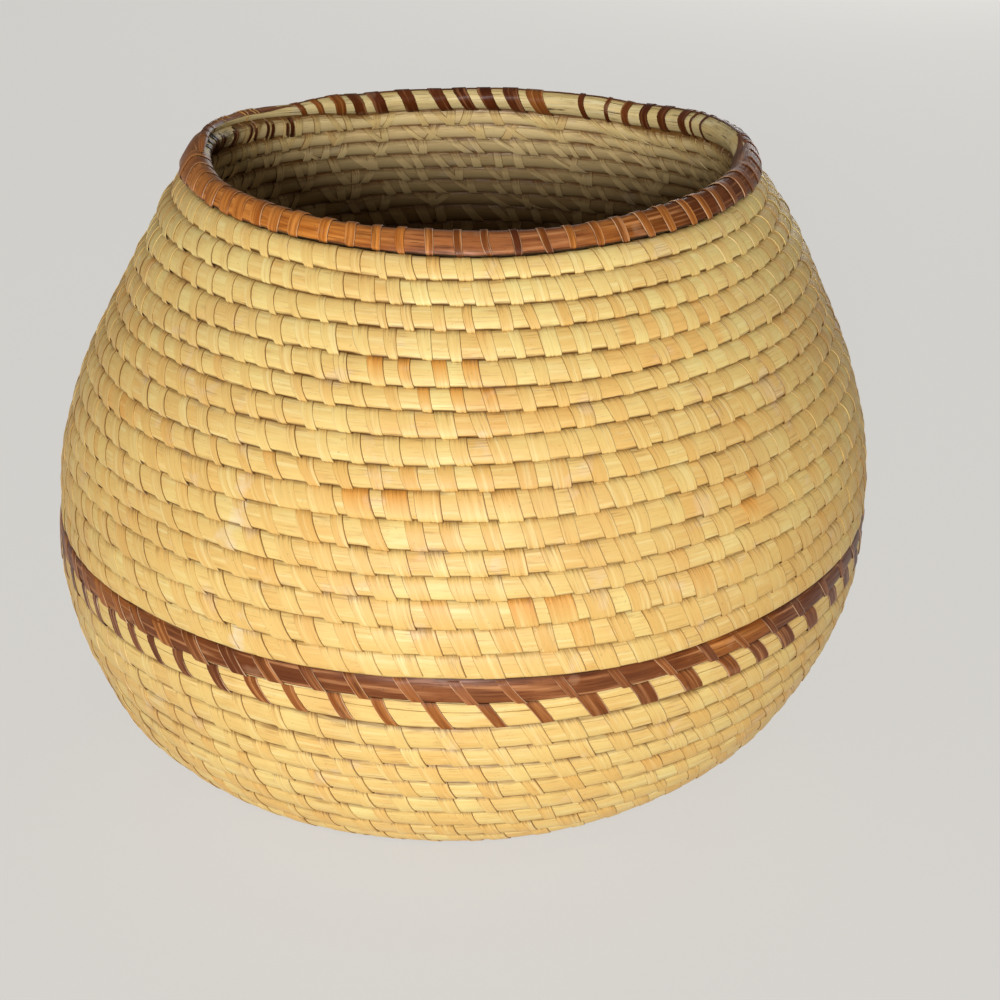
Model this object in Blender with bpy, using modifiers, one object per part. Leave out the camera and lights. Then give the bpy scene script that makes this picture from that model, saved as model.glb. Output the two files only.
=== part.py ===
# Coiled basket: one long bundle of leaf strips wound from a knot in the middle of the base,
# up the wall and in to the mouth, each turn sewn to the one below it.
# Metres, +Z up, the front of the basket faces -Y, and it stands on z = 0.
import math

import bmesh
import bpy
import numpy as np
from mathutils import Vector
from mathutils.geometry import interpolate_bezier

# Driving dimensions of the coil, in metres
coil_pitch = 0.010
coil_gap = 0.0006
stitch_thickness = 0.0005
stitch_room = 0.0015
leaf_thickness = 0.0006
clearance = 0.0003
joint_gap = 0.0004

# Driving dimensions of the wall's outline, at the middle of the coil
mouth_radius = 0.1146
rim_height = 0.2575
neck_slope = math.radians(35.3)
neck_reach = 0.1235
shoulder_reach = 0.0358
belly_radius = 0.1798
belly_height = 0.0842
belly_drop = 0.0152
heel_reach = 0.0367
base_radius = 0.1279

# The basket was shaped by hand, so the mouth stands a little to the right and back
mouth_shift_right = 0.005
mouth_shift_back = 0.002

# Counts, and where the pattern lies in turns below the coil's end
upper_courses = 16
stations_per_turn = 20
end_azimuth = math.radians(250)
rim_stitches = 72
belt_stitches = 64
tick_stitches = 64
tail_wraps = 5

# The coil's two ends
start_radius = 0.009
start_taper_turns = 0.5
start_taper = 0.5
tail_taper_turns = 0.10
tail_taper = 0.5
tail_lashing_turns = 0.030
knot_height = 0.0075
knot_rounding = 0.0018

outline_steps = 200
measuring_steps = 60
cutter_size = 0.5
weld_distance = 0.00001
hexagon_flat = math.cos(math.pi / 6)
stray_from_chord = 0.00035

plain_radius = (coil_pitch - coil_gap) / 2
bound_radius = coil_pitch - plain_radius - stitch_room
# The base is worn flat underneath by a tenth of the coil's thickness
base_wear = 2 * plain_radius / 10
base_middle_height = plain_radius * hexagon_flat - base_wear

straw = (0.76, 0.58, 0.30)
shaded_straw = (0.62, 0.45, 0.21)
brown_leaf = (0.13, 0.045, 0.022)
orange_leaf = (0.42, 0.15, 0.045)
pale_straw = (0.82, 0.68, 0.40)


def clear_scene():
    for old in list(bpy.data.objects):
        bpy.data.objects.remove(old)


def new_collection(name, hidden=False):
    made = bpy.data.collections.new(name)
    made.hide_render = hidden
    bpy.context.scene.collection.children.link(made)
    return made


def new_material(name, colour, roughness):
    made = bpy.data.materials.new(name)
    made.use_nodes = True
    shader = made.node_tree.nodes["Principled BSDF"]
    shader.inputs["Base Color"].default_value = (*colour, 1)
    shader.inputs["Roughness"].default_value = roughness
    shader.inputs["Metallic"].default_value = 0
    return made


# The wall's outline as (radius, height), from the middle of the base out, up and in to the mouth
def outline_points():
    middle = Vector((0, base_middle_height))
    edge = Vector((base_radius, base_middle_height))
    belly = Vector((belly_radius, belly_height))
    mouth = Vector((mouth_radius, rim_height))
    heel = edge + Vector((heel_reach, 0))
    low = belly - Vector((0, belly_drop))
    high = belly + Vector((0, shoulder_reach))
    neck = mouth + neck_reach * Vector((math.sin(neck_slope), -math.cos(neck_slope)))
    lower = interpolate_bezier(edge, heel, low, belly, outline_steps)
    upper = interpolate_bezier(belly, high, neck, mouth, outline_steps)
    return np.array([tuple(point) for point in [middle, *lower, *upper[1:]]])


outline = outline_points()
outline_length = np.concatenate([[0], np.cumsum(np.hypot(*np.diff(outline, axis=0).T))])
whole_length = outline_length[-1]
all_turns = (whole_length - start_radius) / coil_pitch
wall_turns = int((whole_length - base_radius) / coil_pitch)


# Where the coil's middle lies a number of turns below its end, and how the wall leans there
def outline_at(turns):
    along = whole_length - turns * coil_pitch
    step = coil_pitch / 10
    radius = np.interp(along, outline_length, outline[:, 0])
    height = np.interp(along, outline_length, outline[:, 1])
    out = np.interp(along + step, outline_length, outline[:, 0])
    out -= np.interp(along - step, outline_length, outline[:, 0])
    up = np.interp(along + step, outline_length, outline[:, 1])
    up -= np.interp(along - step, outline_length, outline[:, 1])
    return radius, height, math.atan2(up, out)


# The coil is drawn thinner at both ends, and its end lies down on the turn below
def taper_at(turns):
    tail = tail_taper + (1 - tail_taper) * min(turns / tail_taper_turns, 1)
    start = start_taper + (1 - start_taper) * min((all_turns - turns) / start_taper_turns, 1)
    return min(tail, start)


# One station of the coil: its middle, the directions out of and up along the wall, and its size
def station(turns, radius):
    ring, height, rise = outline_at(turns)
    azimuth = end_azimuth - 2 * math.pi * turns
    outward = Vector((math.sin(azimuth), -math.cos(azimuth), 0))
    along_wall = outward * math.cos(rise) + Vector((0, 0, math.sin(rise)))
    normal = outward * math.sin(rise) - Vector((0, 0, math.cos(rise)))
    # Corners lie outside the true circle and the middles of the sides inside it
    swell = 2 / (1 + math.cos(math.pi / stations_per_turn))
    size = taper_at(turns)
    lean = (height - belly_height) / (rim_height - belly_height)
    middle = outward * ring * swell + Vector((0, 0, height))
    middle += Vector((mouth_shift_right, mouth_shift_back, 0)) * lean
    if turns < tail_taper_turns:
        middle -= along_wall * (1 - size) * radius
    return middle, normal, along_wall, rise, size


# The same at any place, on the straight run between the two stations beside it
def between_stations(turns, radius):
    index = turns * stations_per_turn - 0.5
    low = math.floor(index)
    share = index - low
    first = station((low + 0.5) / stations_per_turn, radius)
    second = station((low + 1.5) / stations_per_turn, radius)
    return [a + (b - a) * share for a, b in zip(first, second)]


def coil_path(lower_turns, upper_turns, radius):
    trim = joint_gap / 2 / (2 * math.pi * outline_at((lower_turns + upper_turns) / 2)[0])
    upper = upper_turns + trim
    lower = lower_turns - trim
    first = math.ceil(upper * stations_per_turn - 0.5)
    last = math.floor(lower * stations_per_turn - 0.5)
    corners = [(index + 0.5) / stations_per_turn for index in range(first, last + 1)]
    places = [lower, *reversed(corners), upper]
    return [between_stations(turns, radius) for turns in places]


def new_curve(name, material, collection):
    curve = bpy.data.curves.new(name, "CURVE")
    curve.dimensions = "3D"
    curve.use_fill_caps = True
    curve.materials.append(material)
    made = bpy.data.objects.new(name, curve)
    collection.objects.link(made)
    return made


def fill_spline(curve, points, tilts, sizes):
    spline = curve.splines.new("POLY")
    spline.points.add(len(points) - 1)
    for target, point, tilt, size in zip(spline.points, points, tilts, sizes):
        target.co = (*point, 1)
        target.tilt = tilt
        target.radius = size
    spline.use_smooth = True


# A course of the coil: a six-sided bundle whose corners face the courses above and below
def add_course(name, lower_turns, upper_turns, radius, material, collection):
    path = coil_path(lower_turns, upper_turns, radius)
    made = new_curve(name, material, collection)
    made.data.twist_mode = "Z_UP"
    made.data.bevel_depth = radius
    made.data.bevel_resolution = 1
    tilts = [math.pi / 2 - place[3] + math.pi / 6 for place in path]
    fill_spline(made.data, [place[0] for place in path], tilts, [place[4] for place in path])
    return made


# What the basket stands on is cut flat at z = 0
def add_table_cutter(guides):
    mesh = bpy.data.meshes.new("table_cutter")
    shape = bmesh.new()
    bmesh.ops.create_cube(shape, size=cutter_size)
    shape.to_mesh(mesh)
    shape.free()
    cutter = bpy.data.objects.new("table_cutter", mesh)
    cutter.location = (0, 0, -cutter_size / 2)
    cutter.hide_render = True
    cutter.display_type = "WIRE"
    guides.objects.link(cutter)
    return cutter


def cut_flat(curve, cutter, collection):
    name = curve.name
    graph = bpy.context.evaluated_depsgraph_get()
    mesh = bpy.data.meshes.new_from_object(curve.evaluated_get(graph))
    welded = bmesh.new()
    welded.from_mesh(mesh)
    bmesh.ops.remove_doubles(welded, verts=welded.verts, dist=weld_distance)
    welded.to_mesh(mesh)
    welded.free()
    made = bpy.data.objects.new(name + "_cut", mesh)
    made.matrix_world = curve.matrix_world
    bpy.data.objects.remove(curve)
    made.name = name
    worn = made.modifiers.new("worn_flat", "BOOLEAN")
    worn.operation = "DIFFERENCE"
    worn.object = cutter
    collection.objects.link(made)
    return made


# A leaf laid along a course, bent over the bundle's outer corners
def add_leaf(name, lower_turns, upper_turns, corner_angles, material, collection, guides):
    inner = bound_radius + clearance / hexagon_flat
    outer = inner + leaf_thickness / hexagon_flat
    section = bpy.data.curves.new(name + "_section", "CURVE")
    section.dimensions = "2D"
    spline = section.splines.new("POLY")
    # Clockwise, seen along the way the coil is wound, so that the faces point out
    corners = [(outer, angle) for angle in corner_angles]
    corners += [(inner, angle) for angle in reversed(corner_angles)]
    spline.points.add(len(corners) - 1)
    for target, (reach, angle) in zip(spline.points, corners):
        # A corner of the bundle is at full reach, and the middle of a side is nearer
        at_corner = round(math.degrees(angle) / 30) % 2 == 1
        reach *= 1 if at_corner else hexagon_flat
        target.co = (reach * math.cos(angle), reach * math.sin(angle), 0, 1)
    spline.use_cyclic_u = True
    guide = bpy.data.objects.new(name + "_section", section)
    guide.hide_render = True
    guide.display_type = "WIRE"
    guides.objects.link(guide)
    path = coil_path(lower_turns, upper_turns, bound_radius)
    made = new_curve(name, material, collection)
    made.data.twist_mode = "Z_UP"
    made.data.bevel_mode = "OBJECT"
    made.data.bevel_object = guide
    tilts = [math.pi / 2 - place[3] for place in path]
    fill_spline(made.data, [place[0] for place in path], tilts, [place[4] for place in path])
    return made


# One long leaf strip sewn round and round a course: out over the top, down the outside
# while it moves to the right, in below, and up the inside
def add_stitches(name, lower_turns, upper_turns, wraps, leaf_over_top, has_leaf, material, collection):
    half = stitch_thickness / 2
    leaf_stack = (leaf_thickness + clearance) if has_leaf else 0
    corners = ((1, 1), (1, -1), (-1, -1), (-1, 1))
    points = []
    for index in range(4 * wraps):
        turns = lower_turns + (upper_turns - lower_turns) * (index + 0.5) / (4 * wraps)
        side, rise = corners[index % 4]
        middle, normal, along_wall, _, size = between_stations(turns, bound_radius)
        flat = bound_radius * size * hexagon_flat
        out = flat + clearance + half + stray_from_chord
        up = bound_radius * size + stitch_room / 2
        if side > 0:
            out += leaf_stack
        if rise > 0 and leaf_over_top:
            up += leaf_stack / hexagon_flat
        points.append(middle + normal * side * out + along_wall * rise * up)
    made = new_curve(name, material, collection)
    made.data.twist_mode = "MINIMUM"
    made.data.bevel_depth = half
    made.data.bevel_resolution = 0
    fill_spline(made.data, points, [0] * len(points), [1] * len(points))
    return made


# The knot that the winding starts from fills the small hole in the middle of the base
def add_start_knot(material, collection):
    lean = (base_middle_height - belly_height) / (rim_height - belly_height)
    knot_radius = start_radius - start_taper * plain_radius - clearance - stray_from_chord
    mesh = bpy.data.meshes.new("start_knot")
    shape = bmesh.new()
    bmesh.ops.create_cone(shape, cap_ends=True, segments=16, radius1=knot_radius,
                          radius2=knot_radius, depth=knot_height)
    shape.to_mesh(mesh)
    shape.free()
    mesh.materials.append(material)
    mesh.shade_smooth()
    mesh.set_sharp_from_angle(angle=math.radians(40))
    made = bpy.data.objects.new("start_knot", mesh)
    made.location = (mouth_shift_right * lean, mouth_shift_back * lean, knot_height / 2)
    rounding = made.modifiers.new("rounding", "BEVEL")
    rounding.width = knot_rounding
    rounding.segments = 2
    rounding.limit_method = "ANGLE"
    collection.objects.link(made)
    return made


# Splices between plain courses lie at different places round the wall
def splice(course):
    return course + ((course * 7) % 5 - 2) / stations_per_turn


def least_gap_to_itself(lower_turns, upper_turns, radius):
    count = int((lower_turns - upper_turns) * measuring_steps)
    turns = np.linspace(lower_turns, upper_turns, count)
    middles = np.array([tuple(between_stations(turn, radius)[0]) for turn in turns])
    sizes = np.array([taper_at(turn) for turn in turns]) * radius
    least = whole_length
    for index in range(count):
        far = index + measuring_steps // 2
        if far >= count:
            break
        apart = np.linalg.norm(middles[far:] - middles[index], axis=1) - sizes[far:] - sizes[index]
        least = min(least, apart.min())
    return least


def add_courses(basket, guides):
    cutter = add_table_cutter(guides)
    natural = new_material("natural_leaf", straw, 0.6)
    base_leaf = new_material("base_leaf", shaded_straw, 0.7)
    core = new_material("foundation_bundle", pale_straw, 0.75)
    brown = new_material("brown_leaf", brown_leaf, 0.45)
    orange = new_material("orange_brown_leaf", orange_leaf, 0.5)
    belt = upper_courses + 1
    first_lower = belt + 2
    add_course("rim_course", 1, 0, bound_radius, core, basket)
    for course in range(1, belt):
        upper = 1 if course == 1 else splice(course)
        lower = belt if course == upper_courses else splice(course + 1)
        add_course(f"upper_course_{course:02d}", lower, upper, plain_radius, natural, basket)
    add_course("belt_course", belt + 1, belt, bound_radius, core, basket)
    add_course("tick_course", belt + 2, belt + 1, bound_radius, core, basket)
    for course in range(first_lower, wall_turns):
        upper = first_lower if course == first_lower else splice(course)
        lower = wall_turns if course == wall_turns - 1 else splice(course + 1)
        made = add_course(f"lower_course_{course - first_lower + 1:02d}", lower, upper, plain_radius,
                          natural, basket)
        if outline_at(lower)[1] < plain_radius:
            cut_flat(made, cutter, basket)
    base = add_course("base_coil", all_turns, wall_turns, plain_radius, base_leaf, basket)
    cut_flat(base, cutter, basket)
    add_start_knot(base_leaf, basket)

    # Angles round the bundle from straight out, up being a quarter turn
    outer_face = [math.radians(angle) for angle in (60, 30, -30, -60)]
    outer_and_top = [math.radians(angle) for angle in (120, 90, 30, -30, -60)]
    tail = tail_lashing_turns
    add_leaf("rim_leaf", 1, tail, outer_and_top, brown, basket, guides)
    add_leaf("belt_leaf", belt + 1, belt, outer_face, brown, basket, guides)
    add_leaf("tick_leaf", belt + 2, belt + 1, outer_face, natural, basket, guides)
    add_stitches("rim_stitches", 1, tail, rim_stitches, True, True, orange, basket)
    add_stitches("rim_tail_lashing", tail, 0, tail_wraps, False, False, natural, basket)
    add_stitches("belt_stitches", belt + 1, belt, belt_stitches, False, True, orange, basket)
    add_stitches("tick_stitches", belt + 2, belt + 1, tick_stitches, False, True, brown, basket)


def main():
    clear_scene()
    basket = new_collection("coiled_basket")
    guides = new_collection("guides", hidden=True)
    add_courses(basket, guides)
    base_gap = least_gap_to_itself(all_turns, wall_turns, plain_radius)
    coil_self_gap = least_gap_to_itself(all_turns, 0, plain_radius)
    print(f"coil of {all_turns:.2f} turns, {wall_turns} of them in the wall")
    print(f"base coil's least gap to itself {base_gap * 1000:.2f} mm")
    print(f"whole coil's least gap to itself {coil_self_gap * 1000:.2f} mm")


main()
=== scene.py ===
import math

import bmesh
import bpy
import numpy as np
from mathutils import Matrix, Vector
from mathutils.geometry import interpolate_bezier


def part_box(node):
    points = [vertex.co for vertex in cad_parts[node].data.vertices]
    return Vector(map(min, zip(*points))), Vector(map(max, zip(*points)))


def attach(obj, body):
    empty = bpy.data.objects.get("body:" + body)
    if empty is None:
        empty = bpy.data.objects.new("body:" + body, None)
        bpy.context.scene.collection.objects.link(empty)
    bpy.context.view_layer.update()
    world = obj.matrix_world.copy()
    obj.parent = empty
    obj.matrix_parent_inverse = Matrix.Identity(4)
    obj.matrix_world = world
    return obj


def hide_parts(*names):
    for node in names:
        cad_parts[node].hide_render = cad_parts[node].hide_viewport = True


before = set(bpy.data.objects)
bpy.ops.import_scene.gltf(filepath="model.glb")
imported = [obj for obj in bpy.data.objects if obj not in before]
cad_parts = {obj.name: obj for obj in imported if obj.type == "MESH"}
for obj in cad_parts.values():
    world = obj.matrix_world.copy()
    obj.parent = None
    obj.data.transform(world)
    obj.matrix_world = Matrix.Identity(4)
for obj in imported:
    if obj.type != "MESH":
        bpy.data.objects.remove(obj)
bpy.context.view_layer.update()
dice = np.random.default_rng(1907)
mm = 0.001

# The coil's own sizes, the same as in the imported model, in metres
coil = {
    "pitch": 0.010,
    "mouthRadius": 0.1146,
    "rimHeight": 0.2575,
    "neckSlope": math.radians(35.3),
    "neckReach": 0.1235,
    "shoulderReach": 0.0358,
    "bellyRadius": 0.1798,
    "bellyHeight": 0.0842,
    "bellyDrop": 0.0152,
    "heelReach": 0.0367,
    "baseRadius": 0.1279,
    "baseHeight": 0.00313,
    "plainRadius": 0.0047,
    "startRadius": 0.009,
    "startTaperTurns": 0.5,
    # The coil's end runs on thinner, on top of its last turn; that turn is thinner too along the back
    "tailTurns": (-0.085, -0.070, -0.02, 0.03, 0.06, 0.08, 0.10, 0.12, 0.20, 0.30, 0.40, 0.50, 0.62, 0.76, 0.88),
    "tailSizes": (0.14, 0.36, 0.44, 0.50, 0.54, 0.66, 0.84, 0.86, 0.90, 0.97, 1.0, 1.0, 0.88, 0.88, 1.0),
    "endAzimuth": math.radians(250),
    "upperCourses": 16,
    "stationsPerTurn": 20,
    "mouthShift": (0.0074, 0.0034),  # the mouth stands a little to the right and back
    "outlinePoints": 200,
}


def wallOutline():
    middle = Vector((0, coil["baseHeight"]))
    edge = Vector((coil["baseRadius"], coil["baseHeight"]))
    belly = Vector((coil["bellyRadius"], coil["bellyHeight"]))
    mouth = Vector((coil["mouthRadius"], coil["rimHeight"]))
    slope = coil["neckSlope"]
    neck = mouth + coil["neckReach"] * Vector((math.sin(slope), -math.cos(slope)))
    lower = interpolate_bezier(edge, edge + Vector((coil["heelReach"], 0)),
                               belly - Vector((0, coil["bellyDrop"])), belly, coil["outlinePoints"])
    upper = interpolate_bezier(belly, belly + Vector((0, coil["shoulderReach"])), neck, mouth, coil["outlinePoints"])
    points = np.array([tuple(point) for point in [middle, *lower, *upper[1:]]])
    lengths = np.concatenate([[0], np.cumsum(np.hypot(*np.diff(points, axis=0).T))])
    return points[:, 0], points[:, 1], lengths


wallRadius, wallHeight, wallLength = wallOutline()
wholeLength = wallLength[-1]
allTurns = (wholeLength - coil["startRadius"]) / coil["pitch"]
wallTurns = int((wholeLength - coil["baseRadius"]) / coil["pitch"])


def outlineAt(along):
    return np.interp(along, wallLength, wallRadius), np.interp(along, wallLength, wallHeight)


# Radius, height and upward direction of the wall, a distance along it from the middle of the base
def wallAt(along):
    within = np.clip(along, 0, wholeLength)
    step = coil["pitch"] / 10
    lowOut, lowUp = outlineAt(np.clip(within - step, 0, None))
    highOut, highUp = outlineAt(np.clip(within + step, None, wholeLength))
    outStep, upStep = highOut - lowOut, highUp - lowUp
    size = np.hypot(outStep, upStep)
    outStep, upStep = outStep / size, upStep / size
    past = along - within
    radius, height = outlineAt(within)
    return radius + past * outStep, height + past * upStep, outStep, upStep


# Degrees brought to within half a turn either way
def halfTurn(degrees):
    return (degrees + 180) % 360 - 180


# Where the hand let the courses stray, out of the wall and up it. Some courses are fuller than others.
hand = {
    "waves": [(2, 0.31, 0.9), (3, 0.47, 2.3), (5, 0.83, 4.1), (9, 1.37, 0.6)],  # per turn, per course, phase
    "out": 0.00028,
    "up": 0.00020,
    "firstEdge": 0.194,  # turns down to the first edge between courses at the front
    "backEdges": 3.4,  # and at the back, how many turns later
    "edgesUp": (-0.4, -0.6, 0.3, 0.4, 1.0, 0.0, -0.4, 0.9, 1.4, 0.6, 1.1, 0.2, -0.6, -0.3, 0.9, 0.1, -0.6, -0.6,
                -1.0, -0.6, -1.0, -0.5, 0.2, 0.8, 0.9, 0.6, 0.2),  # mm, course by course
    # How much higher the courses lie at both sides, at the right alone and at the front: mm by course
    "courses": (0, 1, 5, 9, 13, 17, 21, 25, 34),
    "sidesUp": (3.2, 4.2, 3.5, 2.9, 3.3, 4.4, 5.4, 4.8, 0),
    "rightUp": (-0.8, -1.8, 0.1, 0.6, -0.1, -2.1, -3.7, -3.8, 0),
    "frontUp": (-0.5, -0.5, 0.1, 0.5, 0.85, 1.15, 1.35, 1.3, 0),
    # How far they stand out at the left and at the right: mm by turn
    "leftTurns": (0, 0.94, 1.94, 2.94, 3.94, 4.94, 5.94, 6.94, 9),
    "leftOut": (2.6, 2.8, 1.6, 3.4, 1.6, 0.8, -0.6, -0.8, 0),
    "rightTurns": (0.44, 1.44, 2.44, 3.44, 4.44, 6.44, 9),
    "rightOut": (1.6, -0.3, 0.8, 1.2, 1.3, 1.2, 0),
    # Where the coil ends, the mouth is pushed out: mm, azimuth, reach in degrees and in courses
    "endPush": (4.4, -93, 28, 3.0),
    "endLift": 2.8,  # and the last turn is lifted: mm, between these azimuths in degrees
    "liftFrom": (-152, -141, -88, -66),
    "liftTurns": 1.6,
    # Round the mouth its edge dips and rises: azimuth, mm
    "edgeFrom": (-180, -173, -164, -155, -135, -120, -106, -88, 70, 82, 93, 104, 117, 126, 138, 147, 162, 171, 180),
    "edgeTurns": 4,  # the turns over which that fades
    "edgeUp": (-0.3, -1.1, -1.6, -2.2, -2.4, -1.2, -1.5, 0, 0, 1.2, 2.6, 0.6, -1.2, -2.4, -3.4, -1.6, -1.4, 0, -0.3),
    # How much rounder a course is than the flattest ones, by turn, and which part of that at the front
    "roundTurns": (1, 1.001, 8, 13, 16.99, 17, 19, 19.01, 27, 30),
    "roundness": (0, 1, 1, 0.6, 0.5, 0, 0, 0.5, 0.4, 0),
    "roundFront": 0.45,
    "roundMiddle": -1.5,  # the height of a course's fullest line, and how far another draws back, in mm
    "roundReach": 6,
    "roundDepth": 1.1,
}


def handStray(turns, azimuth):
    def atTurns(places, values):
        return np.interp(turns, hand[places], hand[values])

    out = sum(np.sin(count * azimuth + pace * turns + start) for count, pace, start in hand["waves"])
    up = sum(np.cos(count * azimuth + 1.3 * pace * turns + 2 * start) for count, pace, start in hand["waves"])
    edges = np.arange(len(hand["edgesUp"])) + hand["firstEdge"]
    front = (0.5 + 0.5 * np.cos(azimuth)) * np.interp(turns, edges, hand["edgesUp"], left=0, right=0)
    back = np.interp(turns, edges + hand["backEdges"], hand["edgesUp"], left=0, right=0)
    back = (0.5 - 0.5 * np.cos(azimuth)) * back
    sides = atTurns("courses", "sidesUp") * np.sin(azimuth) ** 2
    right = atTurns("courses", "rightUp") * np.sin(azimuth)
    middle = atTurns("courses", "frontUp") * (0.5 + 0.5 * np.cos(azimuth))
    most, pushed, spread, courses = hand["endPush"]
    place = halfTurn(np.degrees(azimuth))
    apart = halfTurn(np.degrees(azimuth) - pushed)
    push = most * np.clip(1 - turns / courses, 0, 1) ** 1.5 * np.exp(-(apart / spread) ** 2)
    push = push + atTurns("leftTurns", "leftOut") * np.clip(-np.sin(azimuth), 0, 1) ** 2
    push = push + atTurns("rightTurns", "rightOut") * np.clip(np.sin(azimuth), 0, 1) ** 2
    lifted = hand["endLift"] * np.clip(hand["liftTurns"] - turns, 0, 1)
    lift = lifted * np.interp(place, hand["liftFrom"], (0, 1, 1, 0))
    edge = np.interp(place, hand["edgeFrom"], hand["edgeUp"]) * np.clip(1 - turns / hand["edgeTurns"], 0, 1)
    raised = front + back + sides + right + middle + lift + edge
    return out * hand["out"] + push * mm, up * hand["up"] + raised * mm


faceFrom = 2 * mm  # points further out than this are on a course's outer face
insideFrom = -1 * mm  # and further in than this on its inner one


# How far a course's outer face draws back above and below its fullest line
def roundedBy(turns, azimuth, out, up):
    full = np.interp(turns, hand["roundTurns"], hand["roundness"])
    full = full * (1 - (1 - hand["roundFront"]) * np.clip(np.cos(azimuth), 0, 1) ** 2)
    apart = (up / mm - hand["roundMiddle"]) / hand["roundReach"]
    return np.where(out > faceFrom, full * apart ** 2 * hand["roundDepth"] * mm, 0)


# Points at a distance out of the wall and up it from the coil's middle; all three are arrays
def coilPoints(turns, out, up):
    azimuth = coil["endAzimuth"] - 2 * math.pi * turns
    tail = np.interp(turns, coil["tailTurns"], coil["tailSizes"])
    start = 0.5 + 0.5 * np.clip((allTurns - turns) / coil["startTaperTurns"], 0, 1)
    size = np.minimum(tail, start)
    lowered = np.where(turns < 0.5, (1 - tail) * coil["plainRadius"], 0)
    strayOut = handStray(turns, azimuth)[0]
    strayUp = handStray(turns - up / coil["pitch"], azimuth)[1]
    along = wholeLength - turns * coil["pitch"] + up * size - lowered + strayUp
    radius, height, outStep, upStep = wallAt(along)
    out = (out - roundedBy(turns, azimuth, out, up)) * size + strayOut
    ring = radius + out * upStep
    lift = height - out * outStep
    lean = (height - coil["bellyHeight"]) / (coil["rimHeight"] - coil["bellyHeight"])
    x = ring * np.sin(azimuth) + coil["mouthShift"][0] * lean
    y = -ring * np.cos(azimuth) + coil["mouthShift"][1] * lean
    return np.stack([x, y, np.maximum(lift, 0)], -1)  # worn flat on what it stands on


# Metres in one turn of the coil there
def turnLength(turns):
    return 2 * math.pi * wallAt(wholeLength - turns * coil["pitch"])[0]


def meshOf(shape, name):
    mesh = bpy.data.meshes.new(name)
    shape.to_mesh(mesh)
    shape.free()
    return mesh


def addObject(name, data):
    holder = bpy.data.objects.new(name, data)
    bpy.context.scene.collection.objects.link(holder)
    return holder


# A closed tube of rings and sides, as a bmesh cone cut across, with its vertices as (ring, side) indices
def tubeMesh(name, sides, rings):
    shape = bmesh.new()
    bmesh.ops.create_cone(shape, cap_ends=True, segments=sides, radius1=1, radius2=1, depth=1)
    long = [edge for edge in shape.edges if abs(edge.verts[0].co.z - edge.verts[1].co.z) > 0.5]
    bmesh.ops.subdivide_edges(shape, edges=long, cuts=rings - 1, use_grid_fill=True)
    mesh = meshOf(shape, name)
    places = readPoints(mesh)
    ring = np.rint((places[:, 2] + 0.5) * rings).astype(int)
    turn = np.arctan2(places[:, 1], places[:, 0])
    side = np.rint((turn - turn[0]) / (2 * math.pi) * sides).astype(int) % sides
    return mesh, ring, side


def readPoints(mesh):
    places = np.empty(len(mesh.vertices) * 3)
    mesh.vertices.foreach_get("co", places)
    return places.reshape(-1, 3)


# The finish reads these marks: all run from 0 to 1, but edge runs from -1 to 1 across a strip. The groove mark is
# painted shade, with some dirt, in grooves and crevices
# inside carries painted light near the mouth and painted shade deeper down; edge carries a painted shade line on
# plain strips
markNames = ("groove", "tone", "dye", "inside", "worn", "edge")


def finishMesh(mesh, points, across, along, marks):
    mesh.vertices.foreach_set("co", np.ascontiguousarray(points, dtype=np.float32).ravel())
    for name in markNames:
        values = np.broadcast_to(marks.get(name, 0.0), len(points)).astype(np.float32)
        mesh.attributes.new(name, "FLOAT", "POINT").data.foreach_set("value", np.ascontiguousarray(values))
    corners = np.empty(len(mesh.loops), dtype=np.int32)
    mesh.loops.foreach_get("vertex_index", corners)
    grain = mesh.uv_layers.new(name="grain")  # metres across the fibre and along it
    grain.data.foreach_set("uv", np.stack([across, along], -1)[corners].astype(np.float32).ravel())
    shape = bmesh.new()
    shape.from_mesh(mesh)
    bmesh.ops.recalc_face_normals(shape, faces=shape.faces)
    shape.to_mesh(mesh)
    shape.free()
    mesh.shade_smooth()
    mesh.set_sharp_from_angle(angle=math.radians(38))


def addPiece(name, mesh, material, nodes=()):
    mesh.materials.append(material)
    piece = addObject(name, mesh)
    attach(piece, "root")
    if nodes:
        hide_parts(*nodes)
    return piece


def fromHex(text):
    channels = [int(text[place:place + 2], 16) / 255 for place in (1, 3, 5)]
    linear = [value / 12.92 if value <= 0.04045 else ((value + 0.055) / 1.055) ** 2.4 for value in channels]
    return (*linear, 1)


def addNode(tree, kind, settings=None, links=None, output=0):
    node = tree.nodes.new("ShaderNode" + kind)
    for name, value in (settings or {}).items():
        if isinstance(name, str) and hasattr(node, name):
            setattr(node, name, value)
        else:
            node.inputs[name].default_value = value
    for name, source in (links or {}).items():
        tree.links.new(source, node.inputs[name])
    return node.outputs[output]
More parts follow.
